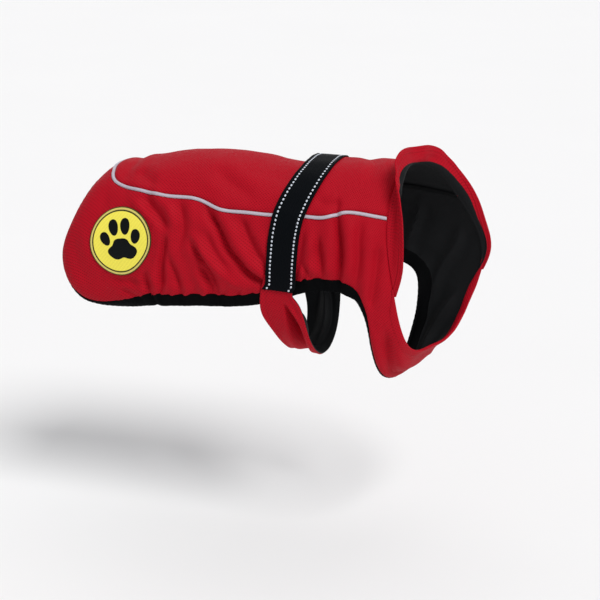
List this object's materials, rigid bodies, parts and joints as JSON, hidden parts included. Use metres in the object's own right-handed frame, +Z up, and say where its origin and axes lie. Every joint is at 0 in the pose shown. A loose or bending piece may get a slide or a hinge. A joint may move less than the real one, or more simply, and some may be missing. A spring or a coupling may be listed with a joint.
{
  "type": "dog coat",
  "caption": "Worn pull-over coat for a small dog: saddle and side panels, stand-up collar, webbing belt over the back, belly band and elastic hems, as an open hollow shell.",
  "frame": {"origin": "underside of the saddle on the centre back under the webbing belt, where the wearer's back holds the coat", "axes": "+X towards the neck, +Y to the coat's left side, +Z up"},
  "size_m": [0.3862, 0.139, 0.2164],
  "materials": {
    "shell_red": "matt red softshell with a fine dotted mesh face",
    "piping_grey": "light grey reflective tape folded round a cord",
    "webbing_black": "black woven webbing with two rows of white reflective stitches",
    "elastic_black": "black elastic binding",
    "patch_twill": "yellow twill with a black and olive embroidered edge"
  },
  "bodies": {
    "root": {"back_panel": "shell_red", "side_right": "shell_red", "side_left": "shell_red", "collar": "shell_red", "belly_band": "shell_red", "piping": "piping_grey", "belt": "webbing_black", "hem_band_right": "elastic_black", "hem_band_left": "elastic_black", "neck_band": "shell_red", "badge": "patch_twill"}
  },
  "joints": []
}
